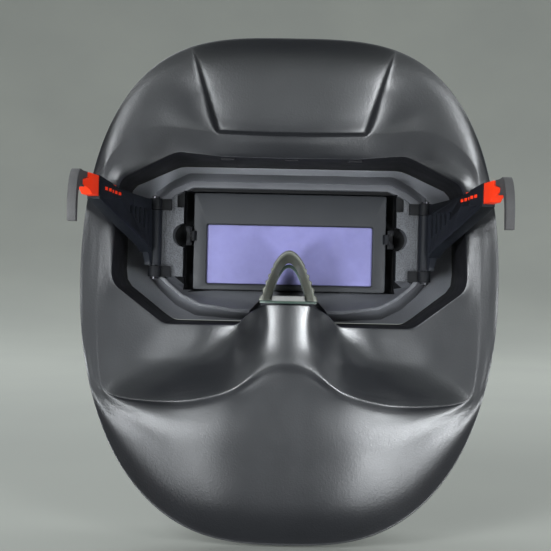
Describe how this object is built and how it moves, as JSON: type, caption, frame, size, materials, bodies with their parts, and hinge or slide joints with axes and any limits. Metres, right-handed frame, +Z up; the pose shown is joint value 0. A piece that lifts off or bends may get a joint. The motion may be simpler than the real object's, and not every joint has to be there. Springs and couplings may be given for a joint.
{
  "type": "welding helmet",
  "caption": "Welding face mask that carries framed auto-darkening goggles with folding temples and a nose pad.",
  "frame": {"origin": "the nose seat, between the two legs of the nose pad and 3 mm under its arch", "axes": "+Z up, +Y towards the wearer, +X to the wearer's left; the mask's front faces -Y"},
  "size_m": [0.2186, 0.145, 0.2621],
  "materials": {
    "shell": "satin injection-moulded polypropylene with a fine grain",
    "frame": "fine-textured nylon",
    "case": "spark-eroded matt polycarbonate",
    "temple": "satin black nylon",
    "latch": "satin black acetal",
    "slider": "satin red-orange nylon",
    "ear_rubber": "matt soft rubber",
    "nose_pad": "soft translucent grey-olive elastomer",
    "nose_clip": "satin black nylon",
    "foam": "matt closed-cell foam",
    "clear_lens": "clear polycarbonate",
    "violet_lens": "violet-blue reflective filter seen through a clear cover",
    "shutter_glass": "liquid-crystal shutter glass",
    "filter_glass": "interference-coated filter glass",
    "solar": "amorphous solar cell under resin",
    "sensor": "dark infrared-passing resin",
    "board": "solder-masked glass epoxy",
    "battery": "nickel-plated can",
    "steel": "zinc-plated steel"
  },
  "bodies": {
    "goggles": {"goggle_frame": "frame", "bay_seal": "foam", "front_bezel": "frame", "front_cover_lens": "clear_lens", "front_lens_gasket": "foam", "bezel_screw_1": "steel", "bezel_screw_2": "steel", "bezel_screw_3": "steel", "bezel_screw_4": "steel", "cartridge_front_case": "case", "cartridge_back_case": "case", "uv_ir_filter": "filter_glass", "lcd_shutter": "shutter_glass", "inner_cover_lens": "violet_lens", "solar_cell": "solar", "circuit_board": "board", "arc_sensor_left": "sensor", "arc_sensor_right": "sensor", "battery_left": "battery", "battery_right": "battery", "nose_clip": "nose_clip", "nose_pad": "nose_pad", "hinge_pin_upper_left": "steel", "hinge_pin_upper_right": "steel", "hinge_pin_lower_left": "steel", "hinge_pin_lower_right": "steel"},
    "mask": {"mask_shell": "shell"},
    "temple_left": {"temple_arm_left": "temple"},
    "tip_left": {"temple_slider_left": "slider", "ear_tip_left": "ear_rubber", "ear_tip_core_left": "steel"},
    "latch_left": {"cartridge_latch_left": "latch"},
    "temple_right": {"temple_arm_right": "temple"},
    "tip_right": {"temple_slider_right": "slider", "ear_tip_right": "ear_rubber", "ear_tip_core_right": "steel"},
    "latch_right": {"cartridge_latch_right": "latch"}
  },
  "joints": [
    {"name": "mask_release", "type": "slide", "parent": "goggles", "child": "mask", "axis": [0, 1, 0], "range_m": [0, 0.022]},
    {"name": "temple_left_fold", "type": "hinge", "parent": "goggles", "child": "temple_left", "pos_m": [0.0745, -0.012, 0.0127], "axis": [0, 0, 1], "range_deg": [0, 98]},
    {"name": "tip_left_slide", "type": "slide", "parent": "temple_left", "child": "tip_left", "axis": [0.2521, 0.9677, 0], "range_m": [0, 0.012]},
    {"name": "latch_left_pull", "type": "slide", "parent": "goggles", "child": "latch_left", "axis": [1, 0, 0], "range_m": [0, 0.0025], "stiffness_N_per_m": 300},
    {"name": "temple_right_fold", "type": "hinge", "parent": "goggles", "child": "temple_right", "pos_m": [-0.0745, -0.012, 0.0127], "axis": [0, 0, -1], "range_deg": [0, 78]},
    {"name": "tip_right_slide", "type": "slide", "parent": "temple_right", "child": "tip_right", "axis": [-0.2521, 0.9677, 0], "range_m": [0, 0.012]},
    {"name": "latch_right_pull", "type": "slide", "parent": "goggles", "child": "latch_right", "axis": [-1, 0, 0], "range_m": [0, 0.0025], "stiffness_N_per_m": 300}
  ]
}
